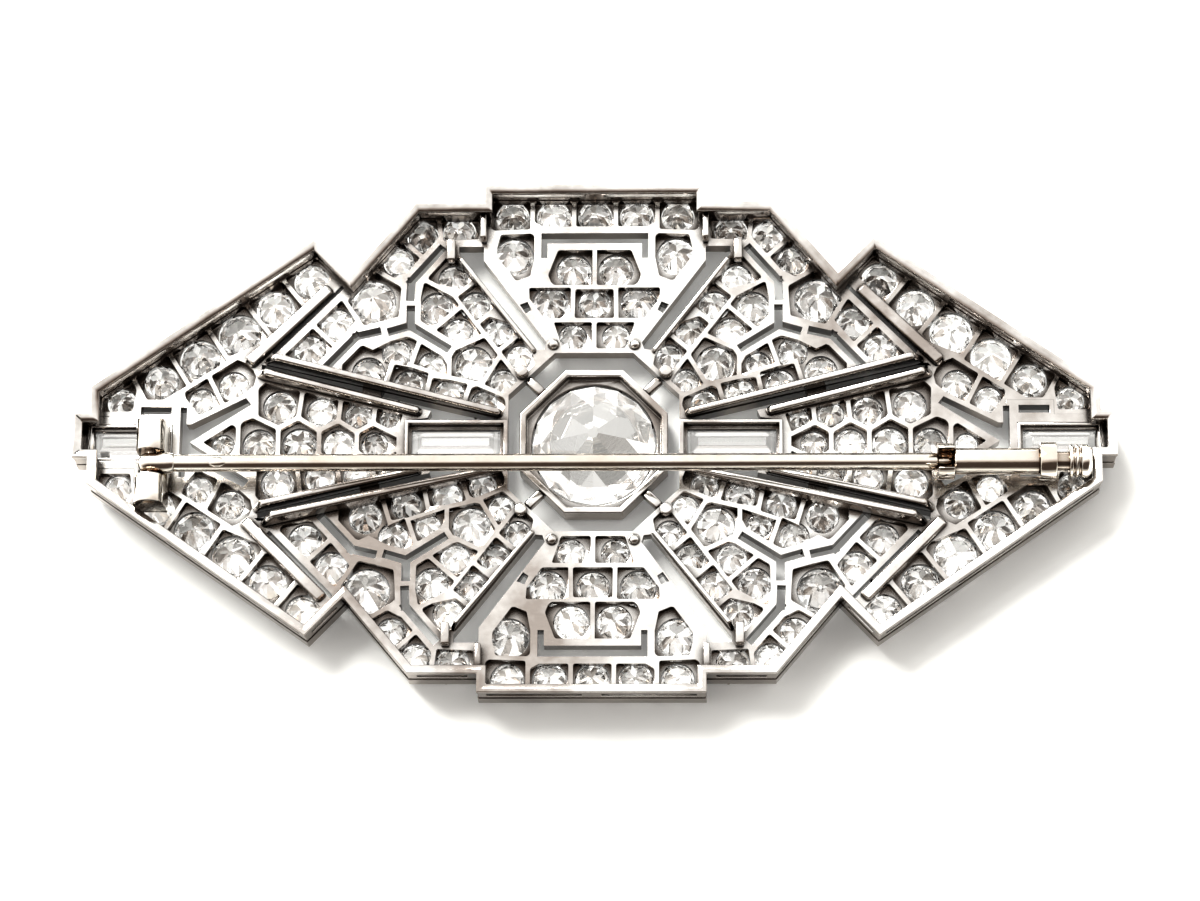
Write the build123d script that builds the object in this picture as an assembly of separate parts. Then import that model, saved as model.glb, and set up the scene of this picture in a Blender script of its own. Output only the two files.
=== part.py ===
from build123d import *
import os
from math import cos, hypot, pi, sin

# Art Deco plaque brooch, in millimetres. It lies face down: +X along the plaque, +Y up its short
# side, +Z from the front of the jewel to its back. Z = 0 is the surface that it lies on, and
# X = Y = 0 is the middle of the centre diamond. The plaque is the same in its four quarters, so
# most outlines are given for the quarter where X and Y are positive and are mirrored from there.

# ---- levels along Z ----
PLATE_FRONT = 0.9
SEAT_BACK = 1.35
PLATE_BACK = 2.1
WALL_TOP = 3.5
RAIL_TOP = 4.0
GIRDLE = 1.05
STEM_LEVEL = 4.5

# ---- rim: a flat back rail on a pierced gallery wall ----
QUARTER_OUTLINE = [
    (0.0, 16.7), (7.15, 16.7), (7.15, 15.5), (11.5, 15.5), (15.55, 10.65),
    (17.9, 13.1), (32.0, 3.2), (32.0, 1.5), (33.0, 1.5), (33.0, 0.0),
]
RAIL_WIDTH = 0.6
RAIL_FLAT = 0.2
RAIL_SLOPE_DROP = 0.2
# The cutter for the slope starts outside the flat and ends inside the rail, as shares of the slope.
RAIL_SLOPE_REACH = (-0.5, 1.25)
WALL_OUTSIDE = 0.05
WALL_INSIDE = 0.45
WINDOW_LEVELS = (2.6, 3.2)
WINDOW_LENGTH = 4.6
WINDOW_POST = 0.7
WINDOW_CORNER = 0.6
LEAST_WINDOW = 1.5

# ---- piercings of the plates, as closed outlines in the first quarter ----
SAW_WIDTH = 0.55
OPENING = [(0.0, 5.9), (2.5, 5.9), (5.45, 3.1), (5.45, 0.0)]
DIAGONAL_SLOT = [
    (3.05, 6.6), (3.2, 6.15), (3.65, 6.1), (8.75, 12.6), (8.75, 13.1), (7.15, 13.1), (7.15, 12.15),
]
HAIRPIN_SLOT = [
    (0.0, 13.3), (3.05, 13.3), (3.05, 12.3), (3.45, 12.3), (3.45, 14.0), (0.0, 14.0),
]
CORNER_HOLE = [(4.05, 8.8), (4.4, 8.55), (4.8, 9.15), (4.3, 9.35)]
UPPER_SAW_PATH = [(9.95, 12.9), (11.8, 10.75), (11.85, 9.7)]
FORK_SAW_PATHS = [
    [(11.8, 8.85), (11.8, 7.75), (9.5, 6.3)],
    [(11.8, 7.75), (13.0, 7.4)],
]
LOWER_SAW_PATH = [(13.95, 7.35), (15.25, 7.05), (17.2, 4.95)]
RIB_SLOTS = [
    [(10.4, 2.05), (13.6, 2.82), (13.6, 3.33), (10.4, 2.56)],
    [(14.8, 3.11), (21.3, 4.67), (21.3, 5.18), (14.8, 3.62)],
]
RIB_TONGUE = [(12.0, 1.37), (10.6, 1.6), (10.4, 2.05)]
WING_GAP = [(16.11, 10.31), (16.29, 10.49), (20.69, 5.99), (20.51, 5.81)]
END_SEAM_X = 26.2
TIP_SLOT = [
    (21.9, 2.5), (22.25, 2.95), (25.7, 1.2), (END_SEAM_X, 1.2), (END_SEAM_X, 0.0), (25.75, 0.0),
]
END_SLIT = (26.0, 26.4, 2.3)
END_SLOT = [(27.0, 1.85), (28.95, 1.85), (28.95, 2.35), (27.0, 2.35)]

# ---- seams between the plates; they run through the piercings and the bridges left in them ----
SEAM_TOP_FAN = [(2.9, 5.52), (3.4, 6.3), (5.2, 8.7), (7.6, 12.2), (7.6, 12.9)]
SEAM_TOP_SHOULDER = [(7.6, 12.9), (7.15, 12.9), (7.15, 15.5)]
SEAM_FAN_SHOULDER = [
    (7.6, 12.9), (9.95, 12.9), (11.8, 10.75), (11.8, 7.75), (13.0, 7.4), (13.95, 7.35),
    (15.25, 7.05), (17.2, 4.95), (17.25, 3.97),
]
SEAM_FAN_SIDE = [(17.25, 3.97), (10.4, 2.35), (10.4, 2.56), (5.45, 1.37)]
SEAM_SHOULDER_SIDE = [(17.25, 3.97), (21.5, 4.98)]
SEAM_SHOULDER_WING = [(21.5, 4.98), (20.9, 5.6), (16.2, 10.4), (15.55, 10.65)]
SEAM_SIDE_WING = [(21.5, 4.98), (22.0, 2.75), (25.8, 1.15), (END_SEAM_X, 1.15)]
SEAM_WING_END = [
    (END_SEAM_X, 1.15), (END_SEAM_X, 2.7), (29.25, 2.7), (29.25, 1.75), (32.0, 1.75),
]

# ---- round stones of one quarter: (x, y, radius) ----
BAR_STONES = [(0.0, 15.35, 1.08), (2.7, 15.35, 1.08), (5.35, 15.35, 1.05)]
SHIELD_STONES = [(5.25, 12.65, 1.25)]
PANEL_STONES = [(1.35, 11.65, 1.12), (0.0, 9.4, 1.05), (2.85, 9.45, 1.15), (1.4, 7.15, 0.9)]
SHOULDER_STONES = [
    (8.8, 14.3, 1.05), (11.15, 14.0, 1.0), (12.7, 12.3, 0.95), (14.3, 9.6, 1.45),
    (16.6, 8.1, 1.05), (18.3, 6.3, 1.05),
]
FAN_STONES = [
    (9.15, 11.1, 0.95), (7.7, 9.3, 0.95), (6.2, 7.5, 0.95), (4.8, 5.85, 0.82),
    (10.2, 9.15, 1.05), (8.75, 7.5, 0.95), (7.75, 5.35, 1.2), (5.85, 4.2, 0.82),
    (7.05, 2.75, 0.85), (9.3, 3.45, 0.95), (11.9, 4.0, 0.95), (14.5, 4.8, 1.05),
    (10.5, 5.35, 0.8), (12.7, 6.1, 0.95),
]
SIDE_STONES = [
    (14.0, 0.0, 0.85), (16.3, 0.0, 1.0), (18.8, 0.0, 1.1), (21.4, 0.0, 1.05), (23.7, 0.0, 0.7),
    (13.1, 1.75, 0.6), (15.1, 1.95, 0.85), (17.45, 2.2, 0.95), (20.15, 2.55, 1.05),
]
TAIL_STONES = [(23.15, 3.95, 0.95), (25.15, 2.95, 0.85)]
# The wing row follows the long edge of the rim: (distance along it, distance in from it, radius)
WING_ROW = [
    (1.55, 1.5, 1.12), (4.5, 1.7, 1.22), (7.35, 1.85, 1.38),
    (10.35, 1.75, 1.3), (13.2, 1.6, 1.1), (16.05, 1.25, 0.9),
]

# Straight bars that run between two rows of cells.
ROW_BARS = [
    ((-6.0, 10.33), (6.0, 10.33)), ((-6.0, 8.1), (6.0, 8.1)),
    ((4.75, 4.15), (9.35, 10.25)),
    ((5.9, 3.15), (7.5, 3.87)), ((7.5, 3.87), (9.2, 4.27)), ((9.2, 4.27), (11.7, 5.12)),
    ((11.7, 5.12), (14.6, 6.5)),
    ((22.3, 6.05), (27.0, 3.0)),
]

# ---- stone cutting and setting ----
CROWN_HEIGHT = 0.32
PAVILION_HEIGHT = 0.86
TABLE_RADIUS = 0.5
CULET_RADIUS = 0.06
GIRDLE_HALF = 0.04
STONE_PLAY = 0.03
HALF_BAR = 0.14
CELL_REACH = 0.6
CELL_SIDES = 16
CELL_LIP = 0.3
CELL_CORNER = 0.15
CORNER_ROOM = 0.45
SHARP_TURN = 0.6
WALL_MARGIN = 0.5
SEAM_MARGIN = 0.3
SLOT_MARGIN = 0.45
PANEL_MARGIN = 0.85
FAN_MARGIN = 0.32
SAW_MARGIN = 0.35
RIB_MARGIN = 0.65
GAP_MARGIN = 0.8

# ---- centre cluster ----
PEG_ANGLE = 45.0
BEZEL_OUTLINE = [(1.84, 4.72), (4.72, 1.84), (4.72, -1.84), (1.84, -4.72)]
BEZEL_LEVELS = (0.35, 2.2)
BEZEL_WALL = 0.4
CENTRE_RADIUS = 3.95
CENTRE_GIRDLE = 1.1
CENTRE_TABLE = 1.95
CENTRE_CULET = (0.25, 4.05)
PEG_WIDTH = 0.6
PEG_LEVELS = (1.3, 2.0)
PEG_SPAN = (4.6387, 5.9567)
FAN_KNOB = (4.6, 4.55, 0.4, 2.7)
BALL_RIVET = (2.6, 6.45, 0.38)
DOME_STEPS = 6

# ---- long stones and their collets: (x from, x to, half width) ----
INNER_COLLET = (5.45, 12.0, 1.37)
INNER_COLLET_LEVELS = (0.75, 2.45)
INNER_BAGUETTE = (6.0, 11.6, 0.9)
COLLET_WELL_LEVEL = 1.6
BAGUETTE_GIRDLE = 1.2
END_COLLET = (26.9, 32.2, 1.2)
END_COLLET_LEVELS = (PLATE_FRONT, PLATE_BACK)
END_BAGUETTE = (27.3, 31.9, 0.82)
BAGUETTE_CROWN = 0.35
BAGUETTE_PAVILION = 0.85
STEP_TAPER = 38.0

# ---- ribs on the back: start, end, width, height above the plate at start and end ----
LONG_RIB = ((5.75, 1.78), (21.1, 5.4), 0.5, 0.6, 1.7)
SHORT_RIB = ((10.9, 1.9), (21.6, 4.5), 0.5, 0.6, 1.3)
DIAGONAL_RIB = ((3.75, 5.85), (8.85, 12.35), 0.28, 0.35, 0.9)
WING_RIB = ((16.95, 10.35), (22.2, 5.1), 0.75, 0.35, 0.5)
SHOULDER_BRIDGE = (8.95, 9.5, 11.95, 13.35, 0.9)
STEP_STRUT = (6.95, 7.35, 13.35, 15.05, 1.2)

# ---- hinge ----
HINGE_X = -27.9
STEM_Y = -2.05
KNUCKLE_HALF = 0.9
KNUCKLE_SPANS = [(-4.65, -2.85), (-1.25, 0.75)]
HINGE_BASE_TOP = 2.5
RIVET_RADIUS = 0.35
RIVET_HEAD = 0.06
PIN_KNUCKLE_HALF = 0.7
PIN_EYE_RADIUS = 0.8
PIN_NOSE_END = -26.6
PIN_NOSE_HALF = 0.62
RUNNING_PLAY = 0.03

# ---- pin stem: (x, radius) stations from the hinge to the point ----
STEM_RADIUS = 0.55
TIP_RADIUS = 0.3
STEM_STATIONS = [
    (-26.6, 0.0), (-26.6, STEM_RADIUS), (21.55, STEM_RADIUS), (21.75, TIP_RADIUS),
    (22.3, TIP_RADIUS), (22.6, 0.14), (22.6, 0.0),
]

# ---- push-pull catch ----
COLLAR_SPAN = (21.65, 22.7)
COLLAR_RADIUS = 1.15
TUBE_SPAN = (22.7, 28.0)
TUBE_RADIUS = 0.84
RING_SPAN = (28.0, 29.05)
RING_RADIUS = 1.2
LEG_HALF = 0.4
LEG_INSET = 0.1
SLIDER_RADIUS = 0.6
SLIDER_BORE = 0.36
SLIDER_SPAN = (22.78, 30.1)
SLIDER_BORE_END = 27.0
KNOB_SPAN = (29.85, 31.25)
KNOB_RADIUS = 1.05
KNOB_CHAMFER = 0.25
KNOB_GROOVES = [30.15, 30.5]
GROOVE_WIDTH = 0.16
GROOVE_DEPTH = 0.14

# ---- construction ----
STEM_AXIS = Axis((0, STEM_Y, STEM_LEVEL), (1, 0, 0))
OVERRUN = 1.0
TINY = 1e-6

QUARTERS = {
    "upper_right": (1, 1),
    "upper_left": (-1, 1),
    "lower_left": (-1, -1),
    "lower_right": (1, -1),
}


# ---- plane geometry ----
def flipped(points, side_x, side_y):
    """The same outline in another quarter."""
    return [(side_x * x, side_y * y) for x, y in points]


def all_round(quarter):
    """A closed loop from the outline of the first quarter, which runs from the Y axis to the X axis."""
    right = quarter + flipped(quarter, 1, -1)[::-1]
    loop = right + flipped(right, -1, 1)[::-1]
    return without_repeats(loop)


def without_repeats(points):
    kept = []
    for point in points:
        if not kept or hypot(point[0] - kept[-1][0], point[1] - kept[-1][1]) > TINY:
            kept.append(point)
    if hypot(kept[0][0] - kept[-1][0], kept[0][1] - kept[-1][1]) < TINY:
        kept.pop()
    return kept


def inset(points, distance):
    """A clockwise loop moved inwards by the same distance all round, with its corners kept sharp."""
    moved = []
    for before, here, after in zip(points[-1:] + points[:-1], points, points[1:] + points[:1]):
        arriving = unit(before, here)
        leaving = unit(here, after)
        turn = 1 + arriving[0] * leaving[0] + arriving[1] * leaving[1]
        moved.append((
            here[0] + distance * (arriving[1] + leaving[1]) / turn,
            here[1] - distance * (arriving[0] + leaving[0]) / turn,
        ))
    return moved


def unit(start, end):
    length = hypot(end[0] - start[0], end[1] - start[1])
    return (end[0] - start[0]) / length, (end[1] - start[1]) / length


def clipped(points, normal, limit):
    """The part of a convex outline that reaches no further than limit along normal."""
    kept = []
    for here, after in zip(points, points[1:] + points[:1]):
        over_here = here[0] * normal[0] + here[1] * normal[1] - limit
        over_after = after[0] * normal[0] + after[1] * normal[1] - limit
        if over_here <= 0:
            kept.append(here)
        if over_here * over_after < 0:
            share = over_here / (over_here - over_after)
            kept.append((
                here[0] + share * (after[0] - here[0]),
                here[1] + share * (after[1] - here[1]),
            ))
    return kept


def rounded(points, cut_back):
    """A closed outline with its sharper corners turned into small curves that start cut_back away."""
    smooth = []
    for before, here, after in zip(points[-1:] + points[:-1], points, points[1:] + points[:1]):
        arriving = unit(before, here)
        leaving = unit(here, after)
        if arriving[0] * leaving[0] + arriving[1] * leaving[1] > cos(SHARP_TURN):
            smooth.append(here)
            continue
        room = min(hypot(here[0] - near[0], here[1] - near[1]) for near in (before, after))
        back = min(cut_back, CORNER_ROOM * room)
        start = (here[0] - back * arriving[0], here[1] - back * arriving[1])
        end = (here[0] + back * leaving[0], here[1] + back * leaving[1])
        for share in (0, 1 / 3, 2 / 3, 1):
            weights = ((1 - share) ** 2, 2 * share * (1 - share), share ** 2)
            smooth.append(tuple(
                sum(weight * point[i] for weight, point in zip(weights, (start, here, end)))
                for i in (0, 1)
            ))
    return smooth


def nearest_on_edge(point, start, end):
    run = (end[0] - start[0], end[1] - start[1])
    length_squared = run[0] ** 2 + run[1] ** 2
    along = ((point[0] - start[0]) * run[0] + (point[1] - start[1]) * run[1]) / length_squared
    along = min(1.0, max(0.0, along))
    return start[0] + along * run[0], start[1] + along * run[1]


def cell_outline(stone, neighbours, edges):
    """The azure cell behind a stone: nearer to it than to any other, less half a bar all round.

    edges are (start, end, margin): a line of the plate and the width of metal kept beside it.
    """
    x, y, radius = stone
    reach = (radius + CELL_REACH) / cos(pi / CELL_SIDES)
    angles = [2 * pi * (i + 0.5) / CELL_SIDES for i in range(CELL_SIDES)]
    outline = [(x + reach * cos(angle), y + reach * sin(angle)) for angle in angles]
    for other_x, other_y, other_radius in neighbours:
        gap = hypot(other_x - x, other_y - y)
        if gap < TINY or any(parted((x, y), (other_x, other_y), bar) for bar in ROW_BARS):
            continue
        normal = ((other_x - x) / gap, (other_y - y) / gap)
        share = (gap ** 2 + radius ** 2 - other_radius ** 2) / (2 * gap)
        outline = clipped(outline, normal, x * normal[0] + y * normal[1] + share - HALF_BAR)
    for start, end, margin in edges + [(start, end, HALF_BAR) for start, end in ROW_BARS]:
        foot = nearest_on_edge((x, y), start, end)
        away = hypot(foot[0] - x, foot[1] - y)
        normal = ((foot[0] - x) / away, (foot[1] - y) / away)
        room = max(away - margin, radius - CELL_LIP)
        outline = clipped(outline, normal, x * normal[0] + y * normal[1] + room)
    return rounded(without_repeats(outline), CELL_CORNER)


def parted(here, there, bar):
    """Whether a bar runs between two points."""
    return (
        turn_of(*bar, here) * turn_of(*bar, there) < 0
        and turn_of(here, there, bar[0]) * turn_of(here, there, bar[1]) < 0
    )


def turn_of(start, end, point):
    """Positive where point lies to the left of the line from start to end."""
    return (end[0] - start[0]) * (point[1] - start[1]) - (end[1] - start[1]) * (point[0] - start[0])


def edges_of(points, margin):
    return [(here, after, margin) for here, after in zip(points, points[1:] + points[:1])]


def saw_outline(start, end):
    """A sawn line as a narrow rectangle with its ends half a saw width past its two points."""
    along = unit(start, end)
    half = SAW_WIDTH / 2
    a = (start[0] - half * along[0], start[1] - half * along[1])
    b = (end[0] + half * along[0], end[1] + half * along[1])
    side = (-half * along[1], half * along[0])
    return [
        (a[0] + side[0], a[1] + side[1]), (b[0] + side[0], b[1] + side[1]),
        (b[0] - side[0], b[1] - side[1]), (a[0] - side[0], a[1] - side[1]),
    ]


def saw_outlines():
    """Every sawn line between a fan panel and its shoulder panel."""
    paths = [UPPER_SAW_PATH, LOWER_SAW_PATH] + FORK_SAW_PATHS
    return [saw_outline(start, end) for path in paths for start, end in zip(path, path[1:])]


def wing_stones():
    corner = QUARTER_OUTLINE[5]
    along = unit(corner, QUARTER_OUTLINE[6])
    inward = (along[1], -along[0])
    row = []
    for distance, depth, radius in WING_ROW:
        x = corner[0] + distance * along[0] + depth * inward[0]
        y = corner[1] + distance * along[1] + depth * inward[1]
        row.append((x, y, radius))
    return row


def both_sides(stones):
    """The stones of one quarter with their mirror images across the Y axis."""
    return stones + [(-x, y, radius) for x, y, radius in stones if x > 0]


def above_and_below(stones):
    """The stones of one quarter with their mirror images across the X axis."""
    return stones + [(x, -y, radius) for x, y, radius in stones if y > 0]


# ---- solid geometry ----
def prism(points, levels):
    outline = Wire.make_polygon([(x, y, levels[0]) for x, y in points], close=True)
    return Solid.extrude(Face(outline), Vector(0, 0, levels[1] - levels[0]))


def rectangle(x_from, x_to, y_from, y_to):
    return [(x_from, y_from), (x_to, y_from), (x_to, y_to), (x_from, y_to)]


def disc(x, y, radius, levels):
    return Solid.make_cylinder(radius, levels[1] - levels[0], Plane((x, y, levels[0])))


def rod_x(radius, span, y=STEM_Y, z=STEM_LEVEL):
    return Solid.make_cylinder(radius, span[1] - span[0], Plane((span[0], y, z), z_dir=(1, 0, 0)))


def rod_y(radius, span, x=HINGE_X, z=STEM_LEVEL):
    return Solid.make_cylinder(radius, span[1] - span[0], Plane((x, span[0], z), z_dir=(0, 1, 0)))


def turned(profile, axis):
    return revolve(Face(Wire.make_polygon(profile, close=True)), axis=axis)


def in_quarter(shape, side_x, side_y):
    if side_x < 0:
        shape = mirror(shape, about=Plane.YZ)
    if side_y < 0:
        shape = mirror(shape, about=Plane.XZ)
    return shape


def four_of(shape):
    return [in_quarter(shape, *sides) for sides in QUARTERS.values()]


def save(node, *solids):
    shape = solids[0] if len(solids) == 1 else Compound(children=list(solids))
    export_step(shape, f"parts/{node}.step")


# ---- plates ----
def plate(outline, slots, stones, edges):
    """A plate with its piercings, the round seats in its front and the azure cells in its back."""
    through = (PLATE_FRONT - OVERRUN, PLATE_BACK + OVERRUN)
    cutters = [prism(slot, through) for slot in slots]
    for stone in stones:
        x, y, radius = stone
        cutters.append(disc(x, y, radius + STONE_PLAY, (through[0], SEAT_BACK)))
        cutters.append(prism(cell_outline(stone, stones, edges), (SEAT_BACK, through[1])))
    return prism(outline, (PLATE_FRONT, PLATE_BACK)).cut(*cutters)


def rim_edges():
    return edges_of(all_round(QUARTER_OUTLINE), WALL_MARGIN)


def save_top_and_bottom_panels():
    half = QUARTER_OUTLINE[:2] + SEAM_TOP_SHOULDER[::-1][:2] + SEAM_TOP_FAN[::-1] + [OPENING[1]]
    outline = without_repeats(flipped(half, -1, 1)[::-1] + half)
    slots = []
    edges = rim_edges() + edges_of(outline, SEAM_MARGIN)
    for side in (1, -1):
        diagonal, hairpin, corner = (
            flipped(slot, side, 1) for slot in (DIAGONAL_SLOT, HAIRPIN_SLOT, CORNER_HOLE)
        )
        slots += [diagonal, hairpin, corner]
        edges += edges_of(diagonal, PANEL_MARGIN)
        edges += edges_of(hairpin, SLOT_MARGIN)[:-1]
        edges += edges_of(corner, HALF_BAR)
    stones = both_sides(BAR_STONES + SHIELD_STONES + PANEL_STONES)
    top = plate(outline, slots, stones, edges)
    save("top_panel", top)
    save("bottom_panel", in_quarter(top, 1, -1))


def save_quarter_panels(name, outline, slots, stones, edges):
    first = plate(without_repeats(outline), slots, stones, edges)
    for quarter, sides in QUARTERS.items():
        save(f"{name}_{quarter}", in_quarter(first, *sides))


def save_fan_panels():
    outline = [OPENING[2]] + SEAM_TOP_FAN + SEAM_FAN_SHOULDER[1:] + SEAM_FAN_SIDE[1:]
    saws = saw_outlines()
    edges = edges_of([SEAM_TOP_FAN[0], OPENING[2]], SEAM_MARGIN)
    edges += edges_of([SEAM_FAN_SIDE[3], RIB_SLOTS[1][2]], RIB_MARGIN)
    edges += edges_of(DIAGONAL_SLOT, FAN_MARGIN)
    for saw in saws:
        edges += edges_of(saw, SAW_MARGIN)
    slots = [DIAGONAL_SLOT] + saws + RIB_SLOTS
    save_quarter_panels("fan_panel", outline, slots, FAN_STONES, edges)


def save_shoulder_panels():
    outline = (
        SEAM_TOP_SHOULDER[::-1] + SEAM_FAN_SHOULDER[1:] + SEAM_SHOULDER_SIDE[1:]
        + SEAM_SHOULDER_WING[1:] + QUARTER_OUTLINE[3:4]
    )
    saws = saw_outlines()
    edges = rim_edges() + edges_of(DIAGONAL_SLOT, SLOT_MARGIN) + edges_of(WING_GAP, SLOT_MARGIN)
    edges += edges_of([RIB_SLOTS[1][3], RIB_SLOTS[1][2]], RIB_MARGIN)
    edges += edges_of([SEAM_TOP_SHOULDER[1], SEAM_TOP_SHOULDER[2]], SEAM_MARGIN)
    for saw in saws:
        edges += edges_of(saw, SAW_MARGIN)
    slots = [DIAGONAL_SLOT, WING_GAP] + saws + RIB_SLOTS
    save_quarter_panels("shoulder_panel", outline, slots, SHOULDER_STONES, edges)


def save_wing_panels():
    outline = (
        QUARTER_OUTLINE[4:7] + SEAM_WING_END[::-1] + SEAM_SIDE_WING[::-1][1:]
        + SEAM_SHOULDER_WING[1:3]
    )
    end_slit = rectangle(END_SLIT[0], END_SLIT[1], 0.0, END_SLIT[2])
    edges = rim_edges() + edges_of(WING_GAP, GAP_MARGIN) + edges_of(TIP_SLOT[:3], SEAM_MARGIN)
    edges += edges_of(end_slit, SEAM_MARGIN) + edges_of(SEAM_SHOULDER_WING[:2], SEAM_MARGIN)
    edges += edges_of([SEAM_WING_END[3], SEAM_WING_END[4]], SEAM_MARGIN)
    edges += edges_of([SEAM_WING_END[1], SEAM_WING_END[2]], HALF_BAR)
    slots = [WING_GAP, TIP_SLOT, end_slit] + RIB_SLOTS
    save_quarter_panels("wing_panel", outline, slots, wing_stones() + TAIL_STONES, edges)


def save_side_panels():
    half = (
        RIB_TONGUE + SEAM_FAN_SIDE[1::-1] + SEAM_SHOULDER_SIDE[1:] + SEAM_SIDE_WING[1:]
        + [(END_SEAM_X, 0.0)]
    )
    outline = half + flipped(half, 1, -1)[::-1]
    end_slit = rectangle(END_SLIT[0], END_SLIT[1], -END_SLIT[2], END_SLIT[2])
    slots = [end_slit]
    collet_end = [(INNER_COLLET[1], -INNER_COLLET[2]), (INNER_COLLET[1], INNER_COLLET[2])]
    edges = edges_of(collet_end, SEAM_MARGIN)
    for side in (1, -1):
        slots += [flipped(slot, 1, side) for slot in RIB_SLOTS + [TIP_SLOT]]
        edges += edges_of(flipped([RIB_SLOTS[0][0], RIB_SLOTS[1][1]], 1, side), RIB_MARGIN)
        edges += edges_of(flipped([TIP_SLOT[0], TIP_SLOT[5]], 1, side), SLOT_MARGIN)
        edges += edges_of(flipped(SEAM_SIDE_WING[:2], 1, side), SEAM_MARGIN)
    right = plate(without_repeats(outline), slots, above_and_below(SIDE_STONES), edges)
    save("side_panel_right", right)
    save("side_panel_left", in_quarter(right, -1, 1))


def save_end_panels():
    half = [(END_SEAM_X, 0.0)] + SEAM_WING_END[1:] + QUARTER_OUTLINE[7:]
    outline = half + flipped(half, 1, -1)[::-1]
    slots = [
        rectangle(END_SLIT[0], END_SLIT[1], -END_SLIT[2], END_SLIT[2]),
        rectangle(END_COLLET[0], END_COLLET[1], -END_COLLET[2], END_COLLET[2]),
        END_SLOT,
        flipped(END_SLOT, 1, -1),
    ]
    right = plate(without_repeats(outline), slots, [], [])
    save("end_panel_right", right)
    save("end_panel_left", in_quarter(right, -1, 1))


# ---- stones ----
def round_stone(x, y, radius):
    """A round stone, table towards the front, as the outer shape of its facets."""
    front = GIRDLE - CROWN_HEIGHT * radius
    back = GIRDLE + PAVILION_HEIGHT * radius
    profile = [
        (0, 0, front), (TABLE_RADIUS * radius, 0, front), (radius, 0, GIRDLE - GIRDLE_HALF),
        (radius, 0, GIRDLE + GIRDLE_HALF), (CULET_RADIUS * radius, 0, back), (0, 0, back),
    ]
    return turned(profile, Axis.Z).moved(Location((x, y, 0)))


def save_round_stones():
    groups = {
        "bar_diamonds": BAR_STONES,
        "shield_diamonds": SHIELD_STONES,
        "panel_diamonds": PANEL_STONES,
        "shoulder_diamonds": SHOULDER_STONES,
        "fan_diamonds": FAN_STONES,
        "wing_diamonds": wing_stones() + TAIL_STONES,
        "side_diamonds": SIDE_STONES,
    }
    for node, stones in groups.items():
        save(node, *[round_stone(*stone) for stone in above_and_below(both_sides(stones))])


def baguette(span, half_width):
    """A step-cut long stone: tapered towards the front and, further, towards the back."""
    middle = (span[0] + span[1]) / 2
    place = Location((middle, 0, BAGUETTE_GIRDLE))
    outline = Rectangle(span[1] - span[0], 2 * half_width).moved(place)
    crown = extrude(outline, BAGUETTE_CROWN, dir=(0, 0, -1), taper=STEP_TAPER)
    pavilion = extrude(outline, BAGUETTE_PAVILION, dir=(0, 0, 1), taper=STEP_TAPER)
    return crown + pavilion


def save_baguettes():
    for node, (x_from, x_to, half) in (
        ("inner_baguettes", INNER_BAGUETTE),
        ("end_baguettes", END_BAGUETTE),
    ):
        right = baguette((x_from, x_to), half)
        save(node, right.solid(), mirror(right, about=Plane.YZ).solid())


def collet(outer, levels, stone):
    """A box with a seat that grips the stone from the front and a wider well behind it."""
    body = prism(rectangle(outer[0], outer[1], -outer[2], outer[2]), levels)
    grip = (stone[0] - STONE_PLAY, stone[1] + STONE_PLAY, stone[2] + STONE_PLAY)
    through = (levels[0] - OVERRUN, levels[1] + OVERRUN)
    seat = prism(rectangle(grip[0], grip[1], -grip[2], grip[2]), through)
    well_half = (outer[2] + stone[2]) / 2
    well = prism(
        rectangle((outer[0] + stone[0]) / 2, (outer[1] + stone[1]) / 2, -well_half, well_half),
        (COLLET_WELL_LEVEL, through[1]),
    )
    return body.cut(seat, well)


def save_collets():
    inner = collet(INNER_COLLET, INNER_COLLET_LEVELS, INNER_BAGUETTE)
    end = collet(END_COLLET, END_COLLET_LEVELS, END_BAGUETTE)
    save("inner_collet_right", inner)
    save("inner_collet_left", in_quarter(inner, -1, 1))
    save("end_collet_right", end)
    save("end_collet_left", in_quarter(end, -1, 1))


# ---- centre cluster ----
def save_centre():
    outline = BEZEL_OUTLINE + flipped(BEZEL_OUTLINE, -1, 1)[::-1]
    scale = (BEZEL_OUTLINE[0][1] - BEZEL_WALL) / BEZEL_OUTLINE[0][1]
    well = [(x * scale, y * scale) for x, y in outline]
    bezel = prism(outline, BEZEL_LEVELS).cut(
        disc(0, 0, CENTRE_RADIUS + STONE_PLAY, (BEZEL_LEVELS[0] - OVERRUN, SEAT_BACK)),
        prism(well, (SEAT_BACK, BEZEL_LEVELS[1] + OVERRUN)),
    )
    save("centre_bezel", bezel)
    profile = [
        (0, 0, 0), (CENTRE_TABLE, 0, 0), (CENTRE_RADIUS, 0, CENTRE_GIRDLE - GIRDLE_HALF),
        (CENTRE_RADIUS, 0, CENTRE_GIRDLE + GIRDLE_HALF),
        (CENTRE_CULET[0], 0, CENTRE_CULET[1]), (0, 0, CENTRE_CULET[1]),
    ]
    save("centre_diamond", turned(profile, Axis.Z).solid())


def save_centre_fastenings():
    peg = prism(rectangle(*PEG_SPAN, -PEG_WIDTH / 2, PEG_WIDTH / 2), PEG_LEVELS)
    save("bezel_pegs", *four_of(peg.rotate(Axis.Z, PEG_ANGLE)))
    x, y, radius, top = FAN_KNOB
    save("fan_knobs", *four_of(disc(x, y, radius, (PLATE_BACK, top))))
    x, y, radius = BALL_RIVET
    dome = turned(dome_profile(radius), Axis.Z).moved(Location((x, y, PLATE_BACK)))
    save("ball_rivets", *four_of(dome.solid()))


def dome_profile(radius):
    angles = [pi / 2 * i / DOME_STEPS for i in range(DOME_STEPS)]
    arc = [(radius * cos(angle), 0, radius * sin(angle)) for angle in angles]
    return [(0, 0, 0)] + arc + [(0, 0, radius)]


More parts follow.
